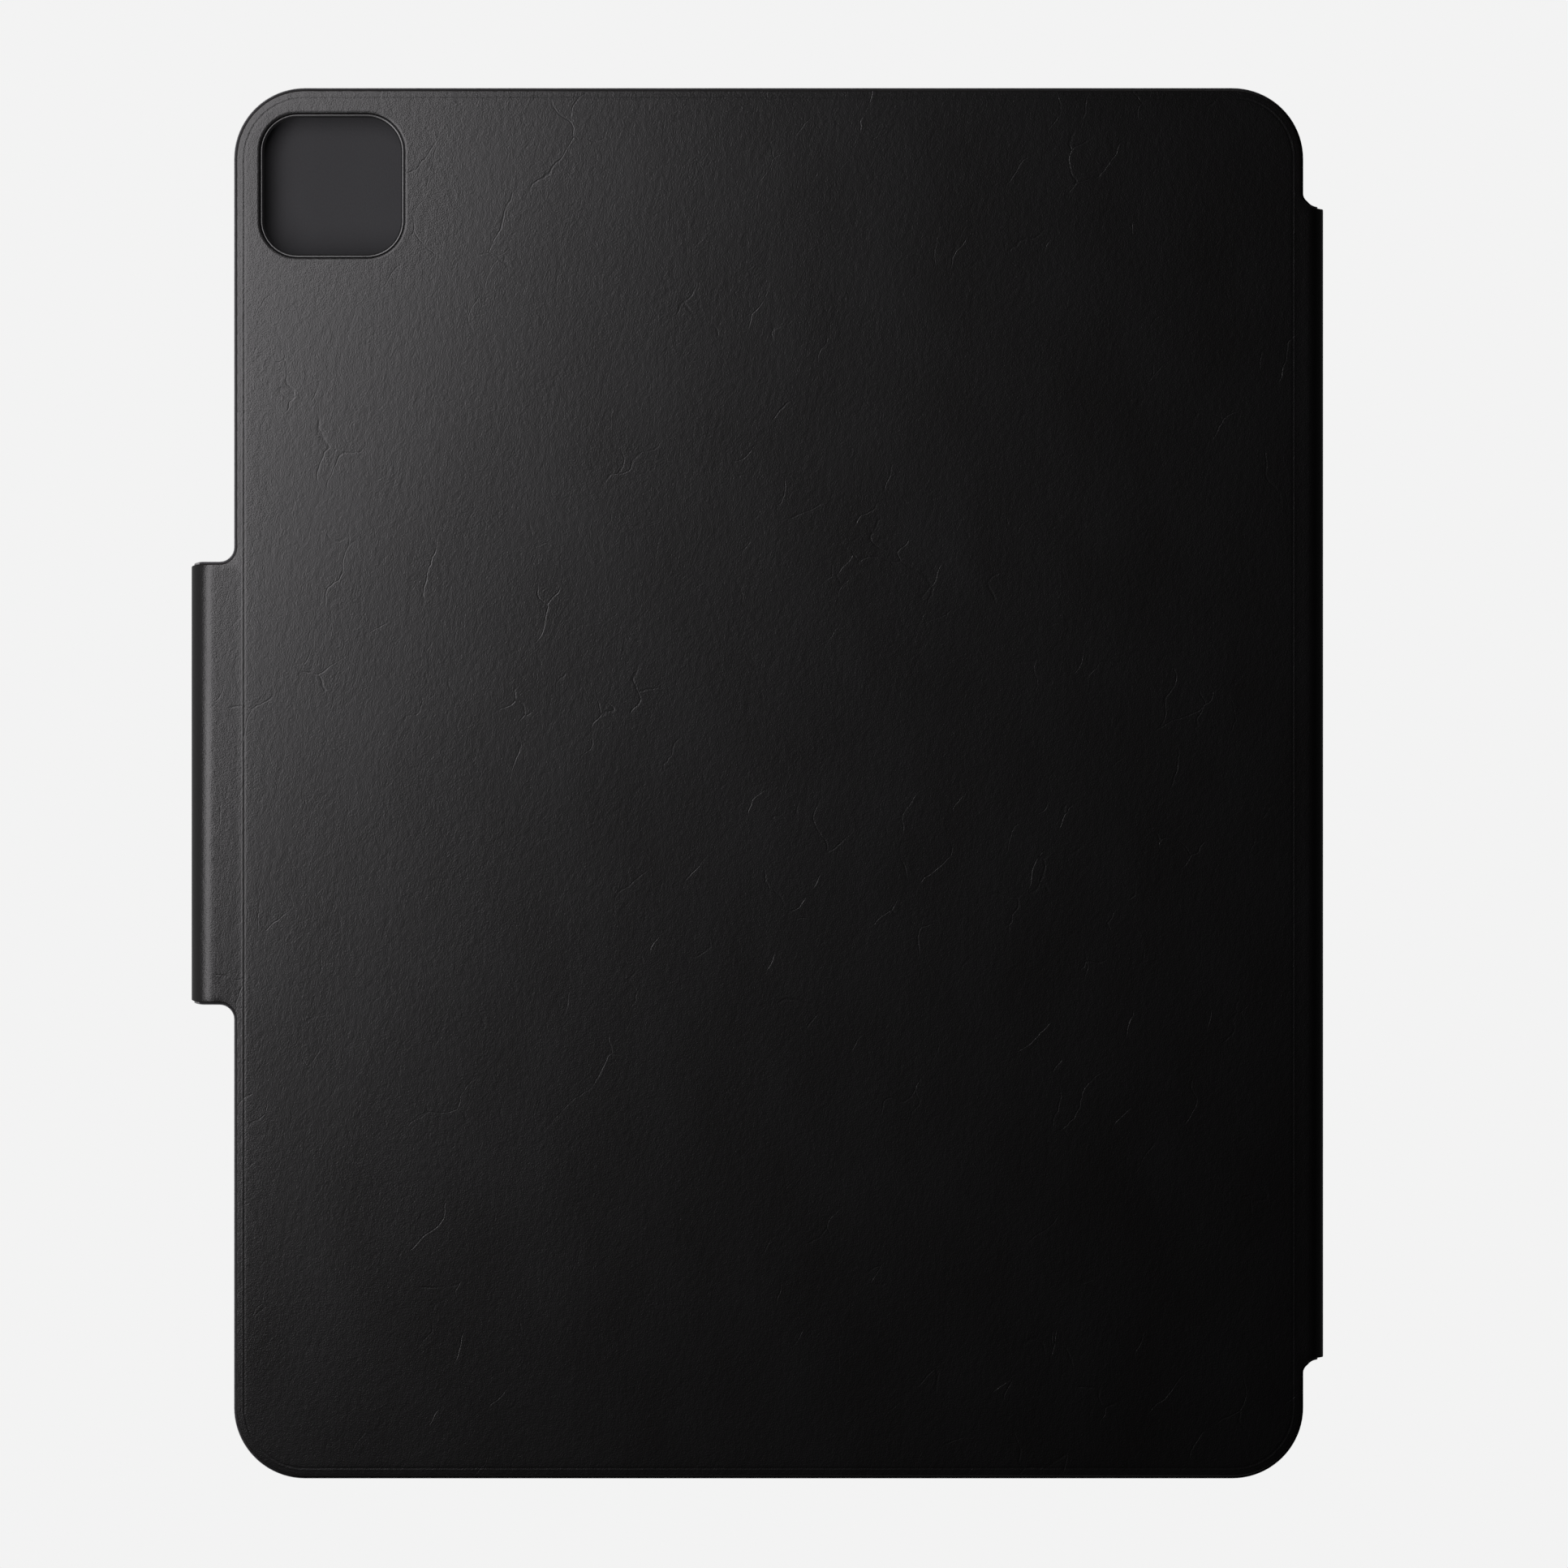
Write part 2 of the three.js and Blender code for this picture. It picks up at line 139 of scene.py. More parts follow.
# Offsets from a fold line, and the height of the leather's groove and of the lining's dip there.
FOLD_GROOVE = (
    (0.0, -0.30),
    (0.35, -0.27),
    (0.7, -0.19),
    (1.0, -0.11),
    (1.3, -0.05),
    (1.7, -0.01),
    (2.2, 0.0),
)
FOLD_DIP = (
    (0.0, 0.50),
    (0.35, 0.48),
    (0.7, 0.36),
    (1.0, 0.14),
    (1.3, 0.0),
)
FOLD_SEAM = 8.0  # from a fold line to the hidden seam on its spine side

# How far outside the window's edge, and the leather's height off the plateau there, where it rolls in.
WINDOW_PROFILE = (
    (0.0, -0.34),
    (0.05, -0.22),
    (0.12, -0.135),
    (0.20, -0.090),
    (0.34, -0.052),
    (0.48, -0.016),
    (0.56, 0.0),
    (0.66, 0.0),
    (1.00, 0.0),
)
# The window's trim in section: how far outside the leather's hole, and the height.
TRIM_SECTION = (
    (-0.10, 10.02),
    (-0.10, 11.66),
    (-0.13, 11.75),
    (-0.20, 11.79),
    (-0.33, 11.78),
    (-0.46, 11.74),
    (-0.58, 11.66),
    (-0.66, 11.52),
    (-0.70, 11.30),
    (-0.72, 11.00),
    (-0.72, 10.02),
)
WINDOW = cad_middle("camera_ring")
WINDOW_SIZE = 29.1
WINDOW_RADIUS = 7.6

GRID = 4.0  # spacing of the sheet's points where it is flat
WALL_GRID = 1.0
CLEAR = 0.8  # the grid's points keep this far from the drawn lines
ROLL_STEPS = 12
CORNER_STEPS = 20
FILLET_STEPS = 8
WINDOW_STEPS = 14
SMALL = 1e-6
FAR = 1e9
NUDGE = 0.1  # points of two lines that meet keep this far apart
SEAM_TOLERANCE = 1e-5
SHARP_EDGE = 38.0  # degrees between two faces from which their edge is drawn sharp

WAVE_LENGTH = 34.0
WAVE_HEIGHT = 0.05
WAVE_FADE = 10.0  # the waves grow over this distance in from the border
NECK_START = -1.2  # the leather thins between these distances in from the panel's left side
NECK_STOP = 0.6
NECK_SPREAD = 2.4  # and fades out over this length beyond each end of the flap
NECK_COLUMNS = (-0.6, 0.4)
SPINE_STEP_START = 0.4  # the lining steps down under the spine's board from this share of the roll
SPINE_STEP_STOP = 1.0  # to this far before the wall

# ---------------------------------------------------------------- looks, in metres and linear light
GRAIN_LEAN = 14.0  # degrees
GRAIN_SWAY = 0.004  # how far the grain drifts sideways
GRAIN_SWAY_SIZE = 0.030
WRINKLE_SIZE = 0.00025
WRINKLE_STRETCH = (1, 0.95, 1)  # under 1 draws a pattern out along that axis
PEBBLE_SIZE = 0.0011
PEBBLE_STRETCH = (1, 0.6, 1)
CREASE_LEAN = 30.0
CREASE_SPACING = 0.012
CREASE_BEND = 0.010  # how far the creases wander from straight
CREASE_KINK = 0.0012
CREASE_KINK_SIZE = 0.003
CREASE_STRETCH = (1, 0.38, 1)
CREASE_WIDTH = 0.013  # as a share of the spacing
CREASE_PATCH = 0.050
PATCH_EDGE = (0.42, 0.58)  # creases fade in between these values of the patches' noise
CREASE_LENGTH = 0.010
LENGTH_EDGE = (0.50, 0.60)
CREASE_DEPTH = 0.62  # as a share of the wrinkles' height
MOTTLE_SIZE = 0.022
MOTTLE_STRETCH = (1.3, 0.7, 1)
MOTTLE_ROUGHNESS = 0.09
WRINKLE_ROUGHNESS = 0.04
LEATHER_ROUGHNESS = 0.312
LEATHER_COLOURS = ((0.0046, 0.0041, 0.0039), (0.0036, 0.0037, 0.0041))
LEATHER_BUMP = 0.000042
PAINT_COLOURS = ((0.0040, 0.0028, 0.0022), (0.0065, 0.0046, 0.0038))
PAINT_ROUGHNESS = (0.45, 0.65)
PAINT_BEAD = 0.0006
PAINT_BUMP = 0.00003
LINING_COLOURS = ((0.022, 0.022, 0.024), (0.034, 0.034, 0.036))
LINING_ROUGHNESS = (0.75, 0.95)
NAP_SIZE = 0.00025
NAP_BUMP = 0.00004
STROKE_SIZE = 0.030
STROKE_SWAY_SIZE = 0.05
STROKE_SWAY = 0.02
# painted highlight: the lining's edge is a light grey, far paler than the lining, partly for its sealed
# finish and partly to stand in for the bright line of light along the rounded edge
RIM_HIGHLIGHT_COLOURS = ((0.24, 0.24, 0.24), (0.31, 0.31, 0.31))
RIM_ROUGHNESS = (0.30, 0.45)
FUZZ_SIZE = 0.0005
FUZZ_BUMP = 0.00001
NOISE_RANGE = (0.3, 0.7)  # nearly all of a noise's values lie in this
BOARD_COLOURS = ((0.050, 0.052, 0.045), (0.085, 0.086, 0.076))
BOARD_ROUGHNESS = (0.65, 0.85)
WEAVE_SIZE = 0.0005
WEAVE_STRETCH = 0.08
WEAVE_BUMP = 0.00003
NICKEL_COLOURS = ((0.50, 0.49, 0.46), (0.62, 0.61, 0.58))
NICKEL_ROUGHNESS = (0.18, 0.36)
SCRATCH_SIZE = 0.0004
SCRATCH_STRETCH = 0.05
SCRATCH_BUMP = 0.000004
NICKEL_HAZE = 0.004
TRIM_COLOURS = ((0.0040, 0.0040, 0.0042), (0.0060, 0.0060, 0.0062))
TRIM_ROUGHNESS = (0.28, 0.38)
TRIM_GRAIN = 0.0003
TRIM_HAZE = 0.006
TRIM_BUMP = 0.000012

PALE = 0.896  # the plain background
FLOOR_SIZE = 3.0
FLOOR_DROP = 0.0006  # how far the floor lies under the case
WORLD_GLOW = 0.42
GLOW_HEIGHT = (0.12, 0.60)  # it fades between these heights of a direction, from 0 level to 1 overhead
GLOW_SIDE = (0.15, 0.80)  # and between these shares of +X
SPINE_SIDE_GLOW = 0.12
LIGHT_COLOUR = (1.0, 0.972, 1.0)
LIGHT_PLACE = (-0.1735, 0.075, 0.215)
LIGHT_TARGET = (0, 0, 0.01)
LIGHT_SIZE = (0.353, 0.130)
LIGHT_POWER = 0.836
CAMERA_X = 0.0054
CAMERA_Y = -0.00016
FIELD = 0.3162  # width of the picture at the back's face
LENS = 300.0
SENSOR = 36.0
CLIP_END = 20.0


# ---------------------------------------------------------------- the bent section
Path = namedtuple("Path", "side flat first wall second")
SPINE_WALL = FLANGE_TOP - FLANGE_LOW - 2 * SPINE_ROLL
FLAP_WALL = FLANGE_TOP - FLAP_ROLL - LATCH_ROLL
SPINE_PATH = Path(1, SPINE_TURN, SPINE_ROLL, SPINE_WALL, SPINE_ROLL)
FLAP_PATH = Path(-1, -FLAP_TURN, FLAP_ROLL, FLAP_WALL, LATCH_ROLL)

SPINE_WALL_START = SPINE_TURN + SPINE_ROLL * QUARTER
SPINE_SEAM = round(SPINE_WALL_START + SPINE_WALL / 2, 4)
NECK_SEAM = round((LEFT - FLAP_FILLET + FLAP_TURN) / 2, 4)
FLAP_WALL_START = -FLAP_TURN + FLAP_ROLL * QUARTER
FLAP_SEAM = round(FLAP_WALL_START + FLAP_WALL / 2, 4)
LATCH_START = FLAP_WALL_START + FLAP_WALL
TONGUE_START = LATCH_START + LATCH_ROLL * QUARTER
TONGUE_STOP = TONGUE_START + TONGUE_END - LATCH_TURN


def on_path(path, s, height):
    """X and Z at length s along a path that turns down, runs down a wall and turns back under."""
    past_flat = s - path.flat
    past_first = past_flat - path.first * QUARTER
    past_wall = past_first - path.wall
    past_second = past_wall - path.second * QUARTER
    first = np.clip(past_flat / path.first, 0, QUARTER)
    second = np.clip(past_wall / path.second, 0, QUARTER)
    across = np.minimum(s, path.flat) + path.first * np.sin(first)
    across = across - path.second * (1 - np.cos(second)) - np.maximum(past_second, 0)
    down = path.first * (1 - np.cos(first)) + np.clip(past_first, 0, path.wall)
    down = down + path.second * np.sin(second)
    lean = first + second
    x = path.side * (across + height * np.sin(lean))
    z = FLANGE_TOP - down + height * np.cos(lean)
    return x, z


def place_back(s, v, height):
    x, z = on_path(SPINE_PATH, s, height)
    return np.stack([x, v, z], axis=1)


def place_cover(s, v, height):
    """The cover is the back's mirror image about the middle of the spine."""
    x, z = on_path(SPINE_PATH, s, height)
    return np.stack([x, v, FLANGE_TOP + FLANGE_LOW - z], axis=1)


def place_flap(s, v, height):
    x, z = on_path(FLAP_PATH, s, height)
    return np.stack([x, v, z], axis=1)


# ---------------------------------------------------------------- lines of the flat drawing
def spread(low, high, step=GRID):
    return list(np.linspace(low, high, max(1, round((high - low) / step)) + 1))


def steps_between(marks, step=GRID):
    """The marks, with evenly spaced values between them."""
    marks = sorted(marks)
    return sorted({round(x, 6) for low, high in zip(marks, marks[1:]) for x in spread(low, high, step)})


def arc(x, y, across, along, start, end, count=CORNER_STEPS):
    turns = np.linspace(start, end, count + 1)
    return [(x + across * math.cos(a), y + along * math.sin(a)) for a in turns]


ROWS = steps_between(
    [
        0,
        FLAP_HALF - LINING_RAMP[-1],
        FLAP_HALF - LINING_RAMP[0],
        FLAP_HALF + FLAP_FILLET,
        SPINE_HALF - LINING_RAMP[-1],
        SPINE_HALF - LINING_RAMP[0],
        HALF_LENGTH - CORNER_RADIUS,
        HALF_LENGTH - GRID,
    ]
)


def roll_columns(start, radius):
    return [start + radius * QUARTER * n / ROLL_STEPS for n in range(ROLL_STEPS + 1)]


SPINE_COLUMNS = roll_columns(SPINE_TURN, SPINE_ROLL) + spread(SPINE_WALL_START, SPINE_SEAM, WALL_GRID)[1:]


def panel_columns(left, low, high, extra=()):
    """Values of s that the panel's top edge, its rings and the grid share."""
    marks = [left + CORNER_RADIUS, RIGHT - CORNER_RADIUS, RIGHT, *extra]
    for fold in (FOLD_INNER, FOLD_OUTER):
        marks += [fold + side * offset for offset, height in FOLD_GROOVE for side in (-1, 1)]
    marks = [low, min(high, SPINE_TURN), *(x for x in marks if low < x < min(high, SPINE_TURN))]
    return steps_between(marks) + [x for x in SPINE_COLUMNS[1:] if x <= high + SMALL]


def half_ring(low, high, top, radius, columns):
    """The upper half of a rounded rectangle, from the middle of its right side to that of its left."""
    across, along = high - radius, top - radius
    rows = [v for v in ROWS if v < along - NUDGE]
    line = [(high, v) for v in rows]
    line += arc(across, along, radius, radius, 0, QUARTER)
    line += [(x, top) for x in reversed(columns) if low + radius + NUDGE < x < across - NUDGE]
    line += arc(low + radius, along, radius, radius, QUARTER, 2 * QUARTER)
    return line + [(low, v) for v in reversed(rows)]


def panel_ring(left, inset, columns):
    return half_ring(left + inset, RIGHT - inset, HALF_LENGTH - inset, CORNER_RADIUS - inset, columns)


def spine_fillet(x, inset):
    """The v of the hollow corner beside the spine at x."""
    share = min(1.0, (SPINE_OUT - x) / (SPINE_REACH + inset))
    return SPINE_HALF + SPINE_FILLET - (SPINE_FILLET + inset) * math.sqrt(1 - share * share)


def panel_edge(left, inset, columns, with_flap=False):
    """The upper half of a panel's free edge, from the seam in the spine's wall to its left side."""
    line = [(s, SPINE_HALF - inset) for s in reversed(columns) if s > SPINE_WALL_START - SMALL]
    for s in reversed([c for c in columns if SPINE_TURN < c < SPINE_WALL_START - SMALL]):
        x = SPINE_TURN + SPINE_ROLL * math.sin((s - SPINE_TURN) / SPINE_ROLL)
        line.append((s, spine_fillet(x, inset)))
    reach, depth = SPINE_REACH + inset, SPINE_FILLET + inset
    fillet_top = SPINE_HALF + SPINE_FILLET
    turned = math.acos(SPINE_ROLL / reach)
    line += arc(SPINE_OUT, fillet_top, reach, depth, math.pi + turned, math.pi, FILLET_STEPS)
    ring = panel_ring(left, inset, columns)
    start = next(i for i, (x, v) in enumerate(ring) if v > fillet_top + CLEAR)
    if not with_flap:
        return line + ring[start:]
    hollow = FLAP_FILLET + inset
    hollow_top = FLAP_HALF + FLAP_FILLET
    end = max(i for i, (x, v) in enumerate(ring) if v > hollow_top + NUDGE)
    line += ring[start : end + 1]
    line += arc(LEFT - FLAP_FILLET, hollow_top, hollow, hollow, 0, -QUARTER, FILLET_STEPS)
    return line + [(FLAP_TURN, FLAP_HALF - inset)]


def ramp(value, low, high):
    share = np.clip((value - low) / (high - low), 0, 1)
    return share * share * (3 - 2 * share)


def flap_edge_v(s, inset):
    """Half the flap's length at s along it."""
    return FLAP_HALF - inset - FLAP_TAPER * ramp(s, -FLAP_TURN + FLAP_ROLL / 2, FLAP_WALL_START)


def flap_edge(inset, columns):
    return [(s, float(flap_edge_v(s, inset))) for s in columns]


def tongue_edge(inset, columns):
    """The upper half of the tongue's free edge, from the seam to the middle of its end."""
    radius = TONGUE_RADIUS - inset
    along = float(flap_edge_v(TONGUE_STOP, inset)) - radius
    corner = TONGUE_STOP - TONGUE_RADIUS
    line = [point for point in flap_edge(inset, columns) if point[0] < corner - NUDGE]
    line += arc(corner, along, radius, radius, QUARTER, 0, FILLET_STEPS)
    return line + [(TONGUE_STOP - inset, v) for v in reversed(ROWS) if v < along - NUDGE]


def window_ring(extra):
    """A closed ring round the camera window, extra outside the leather's hole."""
    radius = WINDOW_RADIUS + extra
    reach = WINDOW_SIZE / 2 - WINDOW_RADIUS
    line = []
    for turn, (x, y) in enumerate([(1, 1), (-1, 1), (-1, -1), (1, -1)]):
        start = turn * QUARTER
        centre = (WINDOW.x + x * reach, WINDOW.y + y * reach)
        line += arc(*centre, radius, radius, start, start + QUARTER, WINDOW_STEPS)
    return line


def mirrored(lines):
    return lines + [[(x, -v) for x, v in line] for line in lines]


def clipped(line, low, high):
    """The parts of a line between two values of s, with a point on each crossing."""
    parts, part = [], []
    for (s0, v0), (s1, v1) in zip(line, line[1:]):
        span = s1 - s0
        if abs(span) < SMALL:
            enter, leave = (0.0, 1.0) if low - SMALL <= s0 <= high + SMALL else (1.0, 0.0)
        else:
            ends = sorted(((low - s0) / span, (high - s0) / span))
            enter, leave = max(0.0, ends[0]), min(1.0, ends[1])
        if leave - enter > SMALL:
            part = part or [(s0 + enter * span, v0 + enter * (v1 - v0))]
            part.append((s0 + leave * span, v0 + leave * (v1 - v0)))
        if part and (leave < 1 - SMALL or leave <= enter):
            parts.append(part)
            part = []
    return parts + ([part] if part else [])


# ---------------------------------------------------------------- distances on the flat drawing
def distance_to(points, lines):
    """How far each point is from the nearest of some lines."""
    nearest = np.full(len(points), FAR)
    for line in lines:
        line = np.array(line)
        for a, b in zip(line, line[1:]):
            along = b - a
            length = max(along @ along, SMALL**2)
            share = np.clip((points - a) @ along / length, 0, 1)
            gap = np.hypot(*(points - a - share[:, None] * along).T)
            nearest = np.minimum(nearest, gap)
    return nearest


def rounded_inset(points, low, high, radius):
    """How far inside a rounded rectangle each point lies, negative outside it."""
    middle = (np.array(low) + np.array(high)) / 2
    half = (np.array(high) - np.array(low)) / 2 - radius
    over = np.abs(points - middle) - half
    outside = np.hypot(*np.maximum(over, 0).T)
    return radius - outside - np.minimum(over.max(axis=1), 0)


def panel_inset(points, left):
    return rounded_inset(points, (left, -HALF_LENGTH), (RIGHT, HALF_LENGTH), CORNER_RADIUS)


def tongue_inset(points):
    return rounded_inset(points, (TONGUE_START, -FLAP_HALF), (TONGUE_STOP, FLAP_HALF), TONGUE_RADIUS)


def window_gap(points):
    """How far outside the window's edge each point lies."""
    middle = np.array((WINDOW.x, WINDOW.y))
    half = WINDOW_SIZE / 2
    return -rounded_inset(points, middle - half, middle + half, WINDOW_RADIUS)


def enclosed(points, edges):
    """Whether each point lies inside the free edges, by the crossings of a line up from it."""
    crossings = np.zeros(len(points), int)
    s, v = points.T
    for edge in edges:
        for (s0, v0), (s1, v1) in zip(edge, edge[1:]):
            spans = (s >= min(s0, s1)) & (s < max(s0, s1))
            if s1 != s0 and spans.any():
                crossings += spans & (v < v0 + (s - s0) / (s1 - s0) * (v1 - v0))
    return crossings % 2 == 1


def profile(table, distance):
    return np.interp(distance, *zip(*table))


def rounding(distance, radius):
    """How far a rounded edge has dropped at a distance in from it."""
    short = np.clip(radius - distance, 0, radius)
    return radius - np.sqrt(radius * radius - short * short)


def round_offsets(radius):
    return [radius * (1 - math.sin(a)) for a in np.linspace(QUARTER, 0, 5)]


# ---------------------------------------------------------------- from a drawing to a mesh
def flat_mesh(lines, grid, seams, free_edge):
    """Points and triangles of a flat drawing, inside its free edge and between its seams."""
    points, edges = [], []
    for line in lines:
        first = len(points)
        points += line
        edges += [(first + i, first + i + 1) for i in range(len(line) - 1)]
    for seam in seams:
        on_seam = sorted({round(v, 5) for s, v in points + grid if abs(s - seam) < SEAM_TOLERANCE})
        first = len(points)
        points += [(seam, v) for v in on_seam]
        edges += [(first + i, first + i + 1) for i in range(len(on_seam) - 1)]
    points += grid
    whole_hull, merge_below = 0, 1e-3
    made = delaunay_2d_cdt([Vector(p) for p in points], edges, [], whole_hull, merge_below, False)
    flat, triangles = np.array([tuple(p) for p in made[0]]), np.array(made[2])
    return flat, triangles[enclosed(flat[triangles].mean(axis=1), free_edge)]


def mesh_object(name, points, faces, shades, materials, sheet):
    """A mesh in metres. sheet is each point's place on the unrolled sheet, for the materials."""
    mesh = bpy.data.meshes.new(name)
    mesh.from_pydata((points * MM).tolist(), [], faces)
    for material in materials:
        mesh.materials.append(material)
    mesh.polygons.foreach_set("material_index", np.array(shades, np.int32))
    mesh.polygons.foreach_set("use_smooth", np.ones(len(faces), bool))
    place = mesh.attributes.new("sheet", "FLOAT_VECTOR", "POINT")
    place.data.foreach_set("vector", (sheet * MM).astype(np.float32).ravel())
    mesh.update()
    mesh.set_sharp_from_angle(angle=math.radians(SHARP_EDGE))
    piece = bpy.data.objects.new(name, mesh)
    bpy.context.collection.objects.link(piece)
    return piece


def shell(name, flat, triangles, place, top, under, materials, edge_paint_and_highlight, shift):
    """A closed sheet between two heights over a flat drawing. Its triangles near the free edge and its
    rim take the
    last material: edge paint on the leather, and on the lining a light edge that is partly a painted
    highlight. shift moves its place on the unrolled sheet, so that no two pieces look alike."""
    s, v = flat.T
    outer, inner = place(s, v, top), place(s, v, under)
    count = len(flat)
    a, b, c = (outer[triangles[:, i]] for i in range(3))
    lift = (outer - inner)[triangles[:, 0]]
    flip = (np.cross(b - a, c - a) * lift).sum(axis=1) < 0
    triangles = np.where(flip[:, None], triangles[:, ::-1], triangles)
    outer_faces = [tuple(t) for t in triangles.tolist()]
    inner_faces = [tuple(i + count for i in reversed(t)) for t in outer_faces]
    directed = {(t[i], t[(i + 1) % 3]) for t in outer_faces for i in range(3)}
    border = sorted(edge for edge in directed if edge[::-1] not in directed)
    rim = [(b, a, a + count, b + count) for a, b in border]
    last = len(materials) - 1
    shades = [last * int(p) for p in edge_paint_and_highlight] + [0] * len(inner_faces) + [last] * len(rim)
    sheet = np.stack([np.tile(s, 2), np.tile(v, 2), np.concatenate([top, under])], axis=1)
    points = np.concatenate([outer, inner])
    return mesh_object(name, points, outer_faces + inner_faces + rim, shades, materials, sheet + shift)


def grid_of(columns, allowed):
    points = np.array([(s, side * v) for s in columns for v in ROWS for side in ((-1, 1) if v else (1,))])
    return [tuple(point) for point in points[allowed(points)].tolist()]


def neck_weight(points):
    """1 on the flap's neck, where the leather is thinned and the lining lies close under it, else 0."""
    along = ramp(-points[:, 0], -LEFT + NECK_START, -LEFT + NECK_STOP)
    return along * (1 - ramp(np.abs(points[:, 1]), FLAP_HALF, FLAP_HALF + NECK_SPREAD))


def waves(points, seed):
    """The slow unevenness of a glued panel."""
    heights = [noise.noise(Vector((s / WAVE_LENGTH, v / WAVE_LENGTH, seed))) for s, v in points]
    return WAVE_HEIGHT * np.array(heights)


def panel_piece(name, left, low, high, place, layer, materials, has_flap, seams, shift):
    """One piece of a panel's leather or lining between two values of s."""
    is_leather = layer == "leather"
    inset = RIM if is_leather else 0
    radius = EDGE_ROUND if is_leather else LINING_EDGE_ROUND
    insets = [d for d, height in BORDER_PROFILE] if is_leather else LINING_RAMP
    extra = [LEFT - FLAP_FILLET, *(LEFT + offset for offset in NECK_COLUMNS)] if has_flap else []
    columns = panel_columns(left, low, high, extra)

    edges = [panel_edge(left, inset + offset, columns, has_flap) for offset in round_offsets(radius)]
    rings = [panel_ring(left, d, columns) for d in insets]
    lines = [part for line in mirrored(edges + rings) for part in clipped(line, low, high)]
    free_edge = [part for line in mirrored(edges[:1]) for part in clipped(line, low, high)]
    has_window = has_flap
    if has_window:
        extras = [gap for gap, height in WINDOW_PROFILE] if is_leather else [0, LINING_EDGE_ROUND]
        lines += [[*ring, ring[0]] for ring in map(window_ring, extras)]

    def allowed(points):
        depth = panel_inset(points, left)
        half = np.where(points[:, 0] > 0, SPINE_HALF, FLAP_HALF)
        clear = depth > insets[-1] + CLEAR
        clear |= (depth < insets[0] - 2 * NUDGE) & (np.abs(points[:, 1]) < half - inset - radius - CLEAR)
        return clear & (window_gap(points) > 2 * CLEAR) if has_window else clear

    flat, triangles = flat_mesh(lines, grid_of(columns, allowed), seams, free_edge)
    if has_window:
        triangles = triangles[window_gap(flat[triangles].mean(axis=1)) > 0]

    depth = panel_inset(flat, left)
    near_edge = depth < insets[0]
    edge_gap = np.full(len(flat), FAR)
    edge_gap[near_edge] = distance_to(flat[near_edge], free_edge)
    neck = neck_weight(flat) if has_flap else np.zeros(len(flat))
    fold_gap = np.minimum(np.abs(flat[:, 0] - FOLD_INNER), np.abs(flat[:, 0] - FOLD_OUTER))
    on_cover = 0.0 if has_flap else 1.0
    if is_leather:
        raised = ramp(depth, insets[-1], insets[-1] + WAVE_FADE)
        top = profile(BORDER_PROFILE, depth) + raised * waves(flat, shift[2])
        top += on_cover * profile(FOLD_GROOVE, fold_gap)
        under = -LEATHER + PLATEAU * ramp(depth, *UNDER_RAMP) + neck * (LEATHER - FLAP_LEATHER)
        if has_window:
            top += profile(WINDOW_PROFILE, window_gap(flat))
    else:
        top = -LEATHER - GLUE - BOARD_STEP * ramp(depth, LINING_RAMP[0], LINING_RAMP[-1])
        over_fold = on_cover * (depth > LINING_RAMP[0])
        top += neck * (LEATHER - FLAP_LEATHER) + over_fold * profile(FOLD_DIP, fold_gap)
        step_start = SPINE_TURN + SPINE_STEP_START * (SPINE_WALL_START - SPINE_TURN)
        on_wall = ramp(flat[:, 0], step_start, SPINE_WALL_START - SPINE_STEP_STOP)
        beside = 1 - ramp(np.abs(flat[:, 1]), SPINE_HALF - LINING_RAMP[-1], SPINE_HALF - LINING_RAMP[0])
        top -= SPINE_BOARD_STEP * on_wall * beside
        under = top - LINING + neck * (LINING - FLAP_LINING)
    top = top - rounding(edge_gap, radius)
    # edge paint on the leather; on the lining this band is the light edge, partly a painted highlight
    edge_paint_and_highlight = edge_gap[triangles].mean(axis=1) < (PAINTED if is_leather else RIM + PAINTED)
    return shell(name, flat, triangles, place, top, under, materials, edge_paint_and_highlight, shift)


